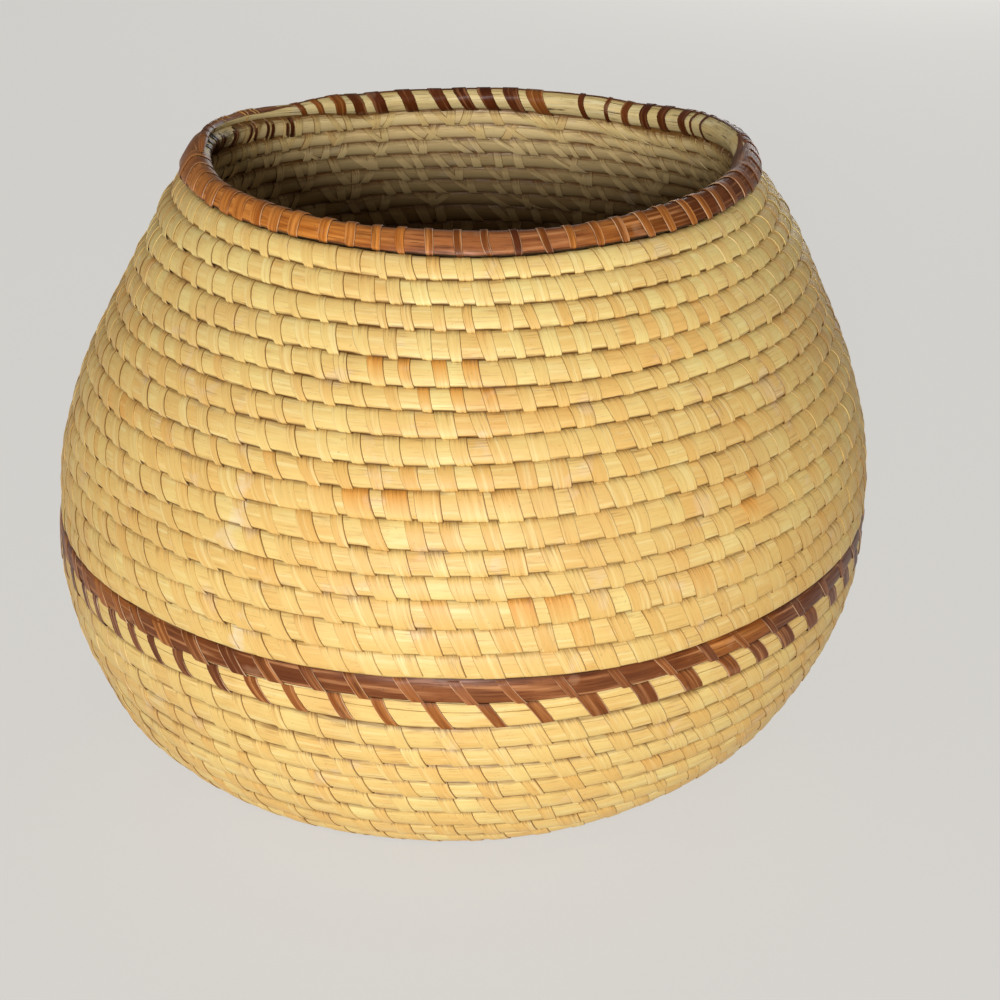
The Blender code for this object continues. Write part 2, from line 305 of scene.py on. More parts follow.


# Split leaf: a satin skin with fine fibres lengthwise, splits along them, and dirt with painted shade where strips
# meet
def leafMaterial(name, look):
    material = bpy.data.materials.new(name)
    material.use_nodes = True
    tree = material.node_tree
    shader = tree.nodes["Principled BSDF"]
    grain = addNode(tree, "UVMap", {"uv_map": "grain"})
    place = addNode(tree, "TexCoord", output="Object")
    made = {kind: addNode(tree, "Attribute", {"attribute_name": kind}, output="Fac") for kind in markNames}
    # Fibres are 0.2 mm wide, drawn three times as wide to show. Sizes here are mm across and along.
    for kind, across, along, detail in (("fine", 0.7, 13, 2.0), ("broad", 2.0, 45, 1.0), ("split", 0.7, 34, 0.0)):
        stretched = addNode(tree, "Mapping", {"Scale": (1 / (across * mm), 1 / (along * mm), 1)},
                            {"Vector": grain})
        made[kind] = addNode(tree, "TexNoise", {"Scale": 1.0, "Detail": detail, "Roughness": 0.6},
                             {"Vector": stretched})
    for kind, scale, detail in (("patches", 70.0, 3.0), ("clouds", 26.0, 2.0), ("specks", 1000.0, 1.0)):
        made[kind] = addNode(tree, "TexNoise", {"Scale": scale, "Detail": detail}, {"Vector": place})

    # What a layer covers: fibres inside the vessel, splits, scuffs, cut edges or a painted shade line at strip edges,
    # and dirt with painted shade in the crevices.
    # Each step has its name, its kind of node, the settings, and the steps that go into it.
    steps = [
        ("insideFibre", "Math", {"operation": "MULTIPLY"}, "inside", "fine"),
        ("line", "MapRange", {1: 0.68, 2: 0.74}, "split"),
        ("split", "MapRange", {1: 0.44, 2: 0.62, 4: look["splits"]}, "patches"),
        ("split", "Math", {"operation": "MULTIPLY"}, "line", "split"),
        ("scuff", "MapRange", {1: 0.3, 2: 0.7, 3: -0.62, 4: 0.38}, "patches"),
        ("scuff", "Math", {"operation": "ADD"}, "scuff", "worn"),
        # Strip edges: on plain leaf a painted shade line, stronger at the right-hand edge through edgeLean; on dyed
        # leaf pale cut edges
        ("edge", "Math", {"operation": "ADD", 1: look["edgeLean"]}, "edge"),
        ("edge", "Math", {"operation": "ABSOLUTE"}, "edge"),
        ("edge", "MapRange", {1: look["edgeFrom"], 2: look["edgeFrom"] + 0.1, 4: look["edgeShare"]}, "edge"),
        ("waver", "MapRange", {1: 0.38, 2: 0.56, 3: look["edgeLeast"]}, "patches"),
        ("edge", "Math", {"operation": "MULTIPLY"}, "edge", "waver"),
        # Dirt with painted shade: fibre dirt and blots, added to the groove mark's painted shade
        ("dirt", "MapRange", {1: 0.3, 2: 0.75, 3: -0.2, 4: 0.3}, "fine"),
        ("dirt", "Math", {"operation": "ADD"}, "dirt", "groove"),
        ("blot", "MapRange", {1: 0.3, 2: 0.7, 3: -0.12, 4: 0.12}, "patches"),
        ("dirt", "Math", {"operation": "ADD"}, "dirt", "blot"),
        ("dyed", "MapRange", {1: 0.35, 2: 0.65}, "broad"),
        ("rough", "MapRange", {1: 0.3, 2: 0.7, 3: look["rough"] - 0.06, 4: look["rough"] + 0.08}, "fine"),
        ("relief", "Math", {"operation": "ADD"}, "fine", "broad"),
        ("relief", "Math", {"operation": "SUBTRACT"}, "relief", "split"),
    ]
    for step, kind, settings, *sources in steps:
        made[step] = addNode(tree, kind, settings, {number: made[source] for number, source in enumerate(sources)})
    dyed = addNode(tree, "Mix", {"data_type": "RGBA", 6: fromHex(look["dye"]), 7: fromHex(look["dyeDeep"])},
                   {0: made["dyed"]}, 2)
    # Layers of colour: what it follows, from and to there, its share at the end, and its colour
    layers = [
        ("tone", 0, 1, 1, look["pale"]),
        ("patches", 0.4, 0.7, look["patchy"], look["patch"]),
        ("clouds", 0.5, 0.7, look["cloudy"], look["cloud"]),
        ("broad", 0.52, 0.78, look["broad"], look["deep"]),
        ("broad", 0.46, 0.28, look["bright"], look["streak"]),
        ("dye", 0, 1, 1, dyed),
        ("fine", 0.5, 0.76, look["fibre"], look["fibreDark"]),
        # Inside faces: a pale tone near the mouth, painted light, and painted shade deeper down
        ("inside", 0, 0.3, look["insideShare"], look["insideTone"]),
        ("inside", 0.3, 1, look["deepShare"], look["insideDeep"]),
        ("insideFibre", 0.48, 0.7, 0.45, look["fibreDark"]),
        ("specks", 0.7, 0.76, look["specks"], look["crevice"]),
        ("split", 0, 1, 1, look["crevice"]),
        ("scuff", 0.2, 0.9, 0.6, look["worn"]),
        # Painted shade line at plain strips' edges, pale cut edges on dyed ones
        ("edge", 0, 1, 1, look["edgeTone"]),
        # Painted shade, with some dirt, in grooves and crevices
        ("dirt", 0.2, 0.95, 0.97, look["crevice"]),
    ]
    toned = addNode(tree, "RGB")
    toned.default_value = fromHex(look["deep"])
    for source, start, end, share, colour in layers:
        covered = addNode(tree, "MapRange", {1: start, 2: end, 4: share}, {0: made[source]})
        if isinstance(colour, str):
            toned = addNode(tree, "Mix", {"data_type": "RGBA", 7: fromHex(colour)}, {0: covered, 6: toned}, 2)
        else:
            toned = addNode(tree, "Mix", {"data_type": "RGBA"}, {0: covered, 6: toned, 7: colour}, 2)
    relief = addNode(tree, "Bump", {"Strength": look["bump"], "Distance": 0.00016}, {"Height": made["relief"]})
    for source, socket in ((toned, "Base Color"), (made["rough"], "Roughness"), (relief, "Normal")):
        tree.links.new(source, shader.inputs[socket])
    shader.inputs["IOR"].default_value = 1.45
    shader.inputs["Specular IOR Level"].default_value = look["specular"]
    return material


# Bleached yucca or palm leaf: straw yellow, satin, with painted grey-brown shade where strips tuck in
# Its dark edgeTone is a painted shade line along strip edges; the pale insideTone is painted light near the mouth,
# insideDeep painted shade deeper down
naturalLeaf = leafMaterial("bleachedLeaf", {
    "pale": "#EED68A", "deep": "#DEAA58", "patch": "#E6B466", "patchy": 0.5, "cloud": "#DFB26C", "cloudy": 0.4,
    "fibreDark": "#B88840", "fibre": 0.3, "broad": 0.28, "streak": "#F8E8AA", "bright": 0.4, "dye": "#EDA344",
    "dyeDeep": "#D88A2E", "insideTone": "#FFE2A6", "insideShare": 0.78, "insideDeep": "#66421C", "deepShare": 0.88,
    "specks": 0.25, "splits": 0.25, "crevice": "#6E4614", "worn": "#F4EBD8", "edgeTone": "#80541E", "edgeShare": 0.8,
    "edgeLeast": 0.55, "edgeFrom": 0.92, "edgeLean": 0.025, "rough": 0.5, "bump": 0.4, "specular": 0.5})
# Leaf of the same kind, brown by root dye: darker and glossier, tone runs to orange-brown
# Its pale edgeTone is the strips' cut edges; its inside is darker, and insideDeep is painted shade deeper inside
dyedLeaf = leafMaterial("dyedLeaf", {
    "pale": "#AC6C42", "deep": "#52240C", "patch": "#7A3E1A", "patchy": 0.7, "cloud": "#56260C", "cloudy": 0.5,
    "fibreDark": "#3A180A", "fibre": 0.6, "broad": 0.6, "streak": "#C4885A", "bright": 0.75, "dye": "#DA8C3C",
    "dyeDeep": "#AC6020", "insideTone": "#4A2414", "insideShare": 0.5, "insideDeep": "#3A1A0E", "deepShare": 0.4,
    "specks": 0.35, "splits": 0.5, "crevice": "#2A1206", "worn": "#DDB48E", "edgeTone": "#E8BE94", "edgeShare": 0.75,
    "edgeLeast": 0.0, "edgeFrom": 0.88, "edgeLean": 0.0, "rough": 0.4, "bump": 0.3, "specular": 0.22})
# The bundle itself: many dry strips side by side, pale, with dark lines between them
bundle = leafMaterial("foundationBundle", {
    "pale": "#F6E2A6", "deep": "#DAB870", "patch": "#E6C988", "patchy": 0.5, "cloud": "#DEBE7A", "cloudy": 0.3,
    "fibreDark": "#7A5A2C", "fibre": 0.7, "broad": 0.6, "streak": "#FFF4C4", "bright": 0.6, "dye": "#D29A4A",
    "dyeDeep": "#B07A34", "insideTone": "#E6D09A", "insideShare": 0.3, "insideDeep": "#E6D09A", "deepShare": 0.0,
    "specks": 0.4, "splits": 1.0, "crevice": "#3E2712", "worn": "#F4EBD8", "edgeTone": "#3E2712", "edgeShare": 0.0,
    "edgeLeast": 0.0, "edgeFrom": 0.84, "edgeLean": 0.0, "rough": 0.5, "bump": 0.9, "specular": 0.5})
print("materials made")

belt = coil["upperCourses"] + 1
sewing = {
    "perTurn": 76.6,  # natural stitches in one turn above the belt
    "lowerStep": 0.0164,  # and their spacing below it, metres
    "firstStitch": 0.3,  # stitches from the coil's end
    "longestStep": 0.2,  # turns
    "unsewnTurns": 0.15,  # next to the knot
    "unevenness": 0.05,  # of their places, in stitches
    "rimPerTurn": 72,
    "patternPerTurn": 64,
    "slantCourses": (0, 8, 12, 16, 18, 19, 20, 22, 28),
    "slants": (0.20, 0.24, 0.30, 0.42, 0.55, 0.48, 0.44, 0.42, 0.36),
    "sideAzimuths": (-180, -75, -50, -30, -8, 12, 40, 70, 180),
    "sideSlants": (0.25, 0.5, 0.44, 0.32, 0.02, 0.0, 0.08, 0.12, 0.25),  # added to those round the wall
    "lowerSideSlants": (0.2, -0.1, -0.15, -0.1, -0.02, 0.08, 0.24, 0.32, 0.2),
    "columnsPerStitch": 4,
    "bellied": 0.12,  # how far the casing bellies, stands proud and drops at its lower edge, in mm
    "proud": 0.05,
    "drop": 0.16,
    "lowEdge": -4.6,
    "gapSide": 2,  # the point of the section where gaps show as painted shade, and how dark they are painted
    "gapGroove": 0.8,
    "runLength": 7,  # stitches made from one leaf: they share its width and colour
}


# One draw for each stitch, partly shared by its neighbours
def leafDraws(count, spread, shared=0.75):
    slow = dice.normal(0, 1, count // sewing["runLength"] + 3)
    places = (np.arange(count) + dice.uniform(0, sewing["runLength"])) / sewing["runLength"]
    run = np.interp(places, np.arange(len(slow)), slow) * 1.2
    return spread * (shared * run + (1 - shared) * 1.6 * dice.normal(0, 1, count))


def sewnTurns():
    turns = [sewing["firstStitch"] / sewing["perTurn"]]
    while turns[-1] < allTurns - sewing["unsewnTurns"]:
        step = min(sewing["lowerStep"] / turnLength(turns[-1]), sewing["longestStep"])
        turns.append(turns[-1] + (1 / sewing["perTurn"] if turns[-1] < belt else step))
    turns = np.array(turns)
    return turns + dice.normal(0, sewing["unevenness"], len(turns)) * np.gradient(turns)


naturalTurns = sewnTurns()

# Cross-section of a plain course, in mm out of the wall and up it. Its lower outer edge overhangs.
plainSection = [
    (0.8, -5.2), (3.1, -5.5), (4.35, -5.3), (4.80, -4.5), (4.88, -2.2), (4.76, 0.2), (4.48, 2.4),
    (3.9, 4.1), (2.6, 5.0), (0.0, 5.2), (-2.6, 4.9), (-3.8, 3.8), (-4.3, 1.6), (-4.35, -0.8),
    (-4.1, -3.0), (-3.3, -4.6), (-1.6, -5.1),
]
# How dark each point of a section is painted: painted shade, with some dirt, in the grooves between courses and under
# the course above
innerGrooves = [1, 1, 1, 0.6, 0.12, 0, 0.15, 0.6, 1]
sectionGrooves = [1, 1, 0.75, 0.06, 0, 0, 0.06, 0.34, *innerGrooves]
lowerGrooves = [1, 1, 0.8, 0.12, 0, 0, 0.15, 0.74, *innerGrooves]  # painted shade set for courses seen from above


# Inside faces are painted pale near the mouth, at 0.3, as painted light, and darker deeper down, as painted shade
def insideDepth(turns):
    return np.interp(turns, [0, 2, 4, 9], [0.3, 0.34, 0.62, 1.0])


# A setting of a look at each of some turns: it is given as a value, or as a function of turns
def setting(look, name, turns, default=0.0):
    value = look.get(name, default)
    return np.broadcast_to(value(turns) if callable(value) else value, len(turns))


# The casing: lengthwise leaf that bellies a little between the stitches that draw it in
def addCasing(name, node, lower, upper, stitches, section, grooves, material, look, second=None, share=None):
    within = stitches[(stitches > upper) & (stitches < lower)]
    breaks = np.concatenate([[upper], within, [lower]])
    count = sewing["columnsPerStitch"]
    columns = np.concatenate([np.linspace(a, b, count, endpoint=False) for a, b in zip(breaks, breaks[1:])])
    columns = np.append(columns, lower)
    panel = np.arange(len(columns)) / count
    phase = panel % 1
    index = np.minimum(panel.astype(int), len(breaks) - 2)
    section = np.array(section) * mm
    mesh, ring, side = tubeMesh(name, len(section), len(columns) - 1)
    belly = np.sin(math.pi * phase) ** 2 * look.get("belly", sewing["bellied"]) * mm
    panels = len(breaks)
    proud = (dice.normal(0, sewing["proud"], panels) * mm)[index]
    drop = (dice.normal(0, sewing["drop"], panels) * mm)[index] * np.sin(math.pi * phase)
    tone = np.clip(setting(look, "tone", breaks, 0.64) + leafDraws(panels, look.get("toneSpread", 0.2), 0.5), 0, 1)
    toneHere = np.where(phase == 0, (tone[index] + tone[index - 1]) / 2, tone[index])
    out, up = section[:, 0][side], section[:, 1][side]
    if second is not None:
        change = share(columns)[ring]
        out = out + change * (np.array(second)[:, 0] * mm - section[:, 0])[side]
        up = up + change * (np.array(second)[:, 1] * mm - section[:, 1])[side]
    swell = (belly + proud)[ring]
    lowEdge = (up < sewing["lowEdge"] * mm) & (out > faceFrom)
    points = coilPoints(columns[ring], out + np.sign(out) * swell * (np.abs(out) > faceFrom),
                        up + np.where(lowEdge, drop[ring], 0))
    gaps = np.hypot(*np.diff(np.vstack([section, section[:1]]), axis=0).T)
    across = np.concatenate([[0], np.cumsum(gaps)])[:-1]
    distance = np.concatenate([[0], np.cumsum(turnLength(columns[1:]) * np.diff(columns))])
    inside = (out < insideFrom) * insideDepth(columns[ring])
    gapped = (dice.uniform(0, 1, panels) < look.get("gaps", 0))[index] & (phase > 0.1)  # painted shade of a dark gap under some
    groove = np.array(grooves)[side] + sewing["gapGroove"] * (gapped[ring] & (side == sewing["gapSide"]))
    marks = {"groove": np.minimum(groove, 1), "tone": toneHere[ring], "inside": inside,
             "dye": setting(look, "dye", columns)[ring], "worn": wornAt(columns[ring], out)}
    shift = dice.uniform(0, 1, 2)
    finishMesh(mesh, points, across[side] + shift[0], distance[ring] + shift[1], marks)
    return addPiece(name, mesh, material, [node])


def atAzimuth(turns):
    return halfTurn(np.degrees(coil["endAzimuth"]) - 360 * turns)


# Two pale scuffs at the left of the front
scuffs = [(11.0, -31, 1.5, 1.3), (16.0, -29, 0.5, 1.0)]  # course, azimuth in degrees, reach in courses, degrees
scuffStart = 0.694  # turns from the coil's end to the front


def wornAt(turns, out):
    azimuth = atAzimuth(turns)
    course = turns + azimuth / 360 - scuffStart
    worn = 0
    for middle, place, reach, spread in scuffs:
        apart = ((course - middle) / reach) ** 2 + ((azimuth - place) / spread) ** 2
        worn = worn + np.exp(-apart)
    return np.where(out > 0, np.clip(worn, 0, 1), 0)


# Way of one stitch round a course, mm out and up, from its lower end outside, over the top, down the inside
plainWay = [
    (3.3, -6.1), (4.4, -5.95), (4.92, -5.5), (5.14, -4.6), (5.2, -2.6), (5.07, 0.2), (4.82, 2.4),
    (4.2, 4.2), (2.7, 5.2), (0.0, 5.4), (-2.8, 5.2), (-4.25, 4.0), (-4.75, 1.6), (-4.8, -1.2),
    (-4.5, -3.8), (-4.05, -5.6), (-3.0, -6.7),
]
# How dark each point of a stitch's way is painted: painted shade where it tucks under the course above and at its
# ends, darker on lower courses seen from above
innerWayGrooves = [1, 1, 0.6, 0.15, 0, 0.15, 0.6, 1]
wayGrooves = [1, 0.7, 0.14, 0, 0, 0.03, 0.16, 0.45, 1, *innerWayGrooves]
lowerWayGrooves = [1, 0.6, 0.12, 0, 0, 0.02, 0.16, 0.72, 1, *innerWayGrooves]

# One strip, in mm: its edges slope, and the hand varies its ends, its lift and its lean
strip = {
    "thickness": 0.36,
    "lowerEdge": 0.10,
    "faceEdge": 0.12,
    "widthSpread": 0.2,
    "widthLimits": (0.5, 1.45),
    "slantSpread": 0.05,
    "bow": (-0.1, 0.2),
    "bowReach": 5.5,
    "reachSpread": 0.32,
    "liftSpread": 0.09,
    "tiltSpread": 0.05,
    "insidePaler": 0.18,
}


# A row of flat strips, each one bent round its course from the same short tube
def addStitches(name, nodes, stitches, way, grooves, material, look):
    count, rings = len(stitches), len(way) - 1
    template, ring, side = tubeMesh(name + "_one", 4, rings)
    shape = bmesh.new()
    for _ in range(count):
        shape.from_mesh(template)
    mesh = meshOf(shape, name)
    bpy.data.meshes.remove(template)
    way = np.array(way) * mm
    tangent = np.gradient(way, axis=0)
    tangent /= np.hypot(*tangent.T)[:, None]
    normal = np.stack([tangent[:, 1], -tangent[:, 0]], -1)
    period = turnLength(stitches) * np.gradient(stitches)
    half = look["widths"] / 2 * mm if "widths" in look else period / 2 * setting(look, "share", stitches)
    half = half * np.clip(1 + leafDraws(count, look.get("widthSpread", strip["widthSpread"])), *strip["widthLimits"])
    slant = look["slant"] + dice.normal(0, strip["slantSpread"], count)
    slantInside = setting(look, "slantInside", stitches, 0.5) + dice.normal(0, look.get("slantSpread", 0.3), count)
    bow = (dice.normal(*strip["bow"], count) + setting(look, "bow", stitches)) * mm
    reach = dice.normal(0, strip["reachSpread"], count) * mm + look.get("reach", 0) * mm
    lift = np.abs(dice.normal(0, strip["liftSpread"], count)) * mm
    tilt = dice.normal(0, strip["tiltSpread"], count) * mm
    tone = np.clip(setting(look, "tone", stitches, 0.45) + leafDraws(count, look.get("toneSpread", 0.22)), 0, 1)
    dye = setting(look, "dye", stitches)
    edges = setting(look, "edges", stitches, 1.0)
    shift = dice.uniform(0, 1, (count, 2))
    # The strip's corners in order across: its two lower edges lie a little outside its face's edges
    corner = np.array([-1, -1, 1, 1])[side]
    rise = np.array([-strip["thickness"], 0, 0, -strip["thickness"]])[side] * mm
    spread = np.array([-strip["lowerEdge"], strip["faceEdge"], -strip["faceEdge"], strip["lowerEdge"]])[side] * mm
    outside = way[:, 0] > 0
    isEnd = np.array([1, 1, 0.8, 0.4] + [0] * (len(way) - 4))
    up = way[None, :, 1] - isEnd[None, :] * reach[:, None]
    distance = np.concatenate([[0], np.cumsum(np.hypot(*np.diff(way, axis=0).T))])
    runIn = np.clip(distance - distance[np.argmax(way[:, 1])], 0, None)
    middle = np.where(outside[None, :], -slant[:, None] * up,
                      -slant[:, None] * way[:, 1].max() - slantInside[:, None] * runIn[None, :])
    bowed = np.where(outside, 1 - (way[:, 1] / (strip["bowReach"] * mm)) ** 2, 0)
    middle = middle + bowed[None, :] * bow[:, None]
    narrow = np.interp(np.arange(len(way)), [0, 2, 4, 6, 8, 10, len(way) - 1],
                       look.get("narrow", [0.66, 0.72, 0.88, 0.98, 1.02, 0.56, 0.5]))
    taper = setting(look, "taper", stitches, 1.0)
    shareHere = 1 + (narrow[None, :] - 1) * np.where(outside[None, :], taper[:, None], 1)
    halfHere = half[:, None] * shareHere
    middle = middle + np.where(outside, 0.5, 0)[None, :] * (half[:, None] - halfHere)  # the left side tapers most
    sideways = middle[:, ring] + corner * halfHere[:, ring] + spread
    raised = rise + lift[:, None] + corner * tilt[:, None]
    raised = raised - setting(look, "sink", stitches)[:, None] * np.interp(ring, [6, 9], [0, 1]) * mm
    out = way[ring, 0] + normal[ring, 0] * raised
    upHere = up[:, ring] + normal[ring, 1] * raised
    turns = stitches[:, None] - sideways / turnLength(stitches)[:, None]
    points = coilPoints(turns, out, upHere).reshape(-1, 3)
    across = (corner * halfHere[:, ring] + shift[:, :1]).ravel()
    along = (distance[ring][None, :] + shift[:, 1:]).ravel()
    # The strip's side faces are painted dark: painted shade at its edges
    sideFaceShade = np.array([1, 0.02, 0.02, 1])[side]
    groove = np.maximum(np.array(grooves)[ring], sideFaceShade)
    marks = {"groove": np.tile(groove, count), "tone": np.repeat(tone, len(ring)),
             "dye": (dye[:, None] * np.interp(ring, [3, 6.5], [look.get("dyeEnd", 1.0), 1.0])).ravel(),
             "edge": (corner[None, :] * edges[:, None]).ravel(),
             "inside": ((way[ring, 0] < insideFrom) * (insideDepth(turns) - strip["insidePaler"])).ravel(),
             "worn": wornAt(turns.ravel(), np.tile(way[ring, 0], count))}
    finishMesh(mesh, points, across, along, marks)
    return addPiece(name, mesh, material, nodes)


# A value read from a table of azimuths in degrees, with a random spread if one is given
def byAzimuth(places, values, spread=0):
    def read(turns):
        value = np.interp(atAzimuth(turns), places, values)
        return np.clip(value + dice.normal(0, spread, len(turns)), 0, 1) if spread else value
    return read


# Amber stitches among the plain ones: course, azimuth in degrees and how deep the colour is
amber = [(5, -15.3, 0.9), (5, -10.6, 0.9), (5, -5.6, 0.9), (5, -0.8, 0.8), (6, -7.4, 0.75), (6, -2.4, 0.75),
         (6, 2.3, 0.75), (10, -12.6, 0.9), (10, -7.8, 0.9), (10, -3.6, 0.45), (10, 1.0, 0.4), (10, 5.8, 0.5),
         (14, 4.5, 0.8), (14, 9.5, 0.7), (11, 35.0, 0.6), (11, 41.5, 0.7), (12, 40.0, 0.75)]

amberReach = 2.3


def amberAt(course):
    def dye(turns):
        azimuth = atAzimuth(turns)
        share = np.clip(dice.normal(-0.04, 0.17, len(turns)), 0, 0.4)
        for row, place, depth in amber:
            if row == course:
                share = np.where(np.abs(azimuth - place) < amberReach, depth, share)
        return share
    return dye


# Some lengths of leaf are tanned: course and azimuth from and to, in degrees
tanned = [(4, 22, 45), (5, 18, 40), (3, 62, 75), (9, -64, -52), (7, 100, 118), (12, 150, 172), (2, -170, -150),
          (14, 78, 90), (10, -120, -104), (6, -100, -92), (12, 33, 43)]

tannedShare = 0.38


def tannedAt(course):
    def dye(turns):
        azimuth = atAzimuth(turns)
        share = np.clip(np.repeat(dice.normal(-0.3, 0.25, len(turns) // 24 + 1), 24)[:len(turns)], 0, 0.2)
        for row, first, last in tanned:
            if row == course:
                share = np.where((azimuth > first) & (azimuth < last), tannedShare, share)
        return share
    return dye


# How far each stitch narrows downwards: most at the left of the upper courses
def taperAt(turns):
    most = np.interp(atAzimuth(turns), [-180, -75, -60, -25, -8, 180], [0.5, 0.5, 1.0, 0.9, 0.45, 0.45])
    mean = np.where(turns < 7, most, 0.5)
    return np.clip(mean + leafDraws(len(turns), 0.3), -0.1, 1.5)


# How far the middle of each stitch stands sideways from its ends, in mm, to the right
bowAt = byAzimuth([-180, -75, -20, 0, 25, 75, 180], [0, -1.0, -0.5, -0.1, 0.5, 1.1, 0])


# Towards the sides, fewer stitches show the painted shade line at their edges
def plainEdges(turns):
    chance = np.interp(atAzimuth(turns), [-180, -75, -35, 0, 30, 75, 180], [0.5, 0.35, 0.7, 1, 0.95, 0.7, 0.5])
    return np.where(dice.uniform(0, 1, len(turns)) < chance, 1.0, 0.8)


def slantAt(course, turns):
    side = np.interp(atAzimuth(turns), sewing["sideAzimuths"],
                     sewing["sideSlants" if course < belt else "lowerSideSlants"])
    return (np.interp(course, sewing["slantCourses"], sewing["slants"])
            + side * np.interp(course, [1, 4, 8, 18], [0.5, 0.6, 1, 1]))


def splice(course):
    return course + ((course * 7) % 5 - 2) / coil["stationsPerTurn"]


def nearestStitch(turns):
    return naturalTurns[np.argmin(np.abs(naturalTurns - turns))]


# Courses above the belt and below it: how wide the stitches are, how much their tone varies, how many
# panels have painted dark gap shade under them, and the painted groove shade of casing and stitches
plain = {
    "above": (0.52, 0.18, 0.14, sectionGrooves, wayGrooves),
    "below": (0.44, 0.16, 0.22, lowerGrooves, lowerWayGrooves),
    "toneCourses": (1, 4, 8, 17, 18),
    "tones": (0.95, 0.88, 0.65, 0.59, 0.67),
    "stitchDarker": 0.13,
    "lastReach": -1.1,  # mm: the last course's stitches end at the belt's upper edge
}


def addPlainCourse(name, number, lower, upper):
    inside = naturalTurns[(naturalTurns >= upper) & (naturalTurns < lower)]
    width, toneSpread, gaps, casingGrooves, stitchGrooves = plain["below" if number > belt else "above"]
    tone = float(np.interp(number, plain["toneCourses"], plain["tones"]))
    addCasing(name + "_casing", name, lower, upper, naturalTurns, plainSection, casingGrooves, naturalLeaf,
              {"dye": tannedAt(number), "tone": tone, "toneSpread": toneSpread, "gaps": gaps})
    strips = {"share": width, "dye": amberAt(number), "dyeEnd": 0.1, "slant": slantAt(number, inside),
              "slantSpread": 0.45, "taper": taperAt, "bow": bowAt, "edges": plainEdges,
              "narrow": [0.66, 0.72, 0.88, 0.98, 1.02, 0.85, 0.75], "tone": tone - plain["stitchDarker"],
              "toneSpread": toneSpread, "reach": plain["lastReach"] if number == coil["upperCourses"] else 0}
    addStitches(name + "_stitches", [], inside, plainWay, stitchGrooves, naturalLeaf, strips)


for part, first, past in (("upper", 1, belt), ("lower", belt + 2, wallTurns)):
    for course in range(first, past):
        upper = first if course == first else nearestStitch(splice(course))
        lower = past if course == past - 1 else nearestStitch(splice(course + 1))
        addPlainCourse(f"{part}_course_{course - first + 1:02d}", course, lower, upper)
print("plain courses sewn")

addPlainCourse("base_coil", 28, allTurns, wallTurns)
print("base wound")

# The belt: brown leaf laid lengthwise, and its narrow stitches
patternTicks = [-65.3, -59.9, -56.1, -51.3, -46.6, -42.4, -37.5, -31.9, -26.2, -21.1, -15.2, -9.8, -3.4, 3.0,
                8.7, 15.3, 22.0, 28.2, 34.4, 39.5, 44.9, 50.9, 57.5, 63.4]


# Turns, within one course, at these azimuths, and evenly spaced ones round the rest of it
def patternTurns(course, shift):
    first, last = patternTicks[-1], patternTicks[0] + 360
    count = round((last - first) * sewing["patternPerTurn"] / 360)
    azimuths = patternTicks + list(np.linspace(first, last, count, endpoint=False)[1:])
    turns = [(math.degrees(coil["endAzimuth"]) - azimuth - shift) / 360 % 1 for azimuth in azimuths]
    return np.sort(np.array(turns)) + course


beltSection = [
    (4.2, -4.3), (4.6, -4.4), (5.05, -4.0), (5.25, -3.1), (5.3, -1.0), (5.2, 1.6), (4.85, 3.5), (4.1, 4.9),
    (3.7, 4.7), (4.35, 3.2), (4.65, 1.4), (4.7, -1.0), (4.65, -3.0),
]
# Painted shade along the belt's edges and on its hidden inner faces
beltGrooves = [1, 0.9, 0.25, 0, 0, 0, 0.08, 0.7, 1, 1, 1, 1, 1]
tickSection = [
    (4.0, -5.1), (4.45, -5.2), (4.9, -4.7), (5.05, -3.6), (5.08, -1.0), (4.98, 1.5), (4.65, 1.75), (4.98, 2.0),
    (4.9, 3.6), (4.5, 5.3), (3.9, 5.2), (4.2, 3.6), (4.45, 1.4), (4.5, -1.0), (4.45, -3.6),
]
# Painted shade at the tick course's edges and a painted dark line at its notch
tickGrooves = [1, 0.8, 0.15, 0, 0, 0.1, 0.85, 0.1, 0.05, 0.35, 1, 1, 1, 1, 1]
coreSection = [(out * 0.96, up * 0.985) for out, up in plainSection]

# Round the belt and the ticks: how orange, how pale and how wide each strip is, and how far it bows. The belt leaf is
# painted paler at the front middle: a painted highlight over its own tone.
beltDye = byAzimuth([-180, -75, -60, -55, -49, -45, -25, 0, 22, 29, 32, 40, 43, 90, 180],
                    [0.1, 0.05, 0.15, 0.4, 0.4, 0.08, 0.03, 0.05, 0.03, 0.12, 0.5, 0.42, 0.04, 0.02, 0.1])
beltToneAndHighlight = byAzimuth([-180, -75, -60, -22, -10, 15, 28, 46, 60, 180],
                     [0.3, 0.2, 0.12, 0.18, 0.42, 0.5, 0.22, 0.05, 0.05, 0.3])
beltStitchDye = byAzimuth([-180, -70, -38, -26, -12, 0, 30, 36, 46, 60, 180],
                          [0.3, 0.3, 0.3, 0.1, 0.04, 0.03, 0.05, 0.14, 0.08, 0.05, 0.3], 0.1)
beltShare = byAzimuth([-180, -60, -28, -15, 10, 40, 180], [0.3, 0.42, 0.36, 0.24, 0.22, 0.24, 0.3])
tickDye = byAzimuth([-180, -60, -35, -24, -15, 5, 12, 60, 180],
                    [0.05, 0.0, 0.03, 0.15, 0.42, 0.3, 0.05, 0.02, 0.05], 0.1)
tickShare = byAzimuth([-180, -60, -20, 5, 12, 20, 45, 60, 180], [0.3, 0.34, 0.36, 0.3, 0.32, 0.46, 0.42, 0.32, 0.3])
tickBow = byAzimuth([-75, -20, 0, 25, 75], [-1.3, -1.0, -0.2, 0.9, 1.3])

beltTurns = patternTurns(belt, -3.6)
tickTurns = patternTurns(belt + 1, 0)
tickWayGrooves = [1, 0.7, 0.14, 0, 0, 0, 0, 0.1, 0.6, *innerWayGrooves]
beltWay = [(out + (0.45 if out > 0 else 0), up) for out, up in plainWay]
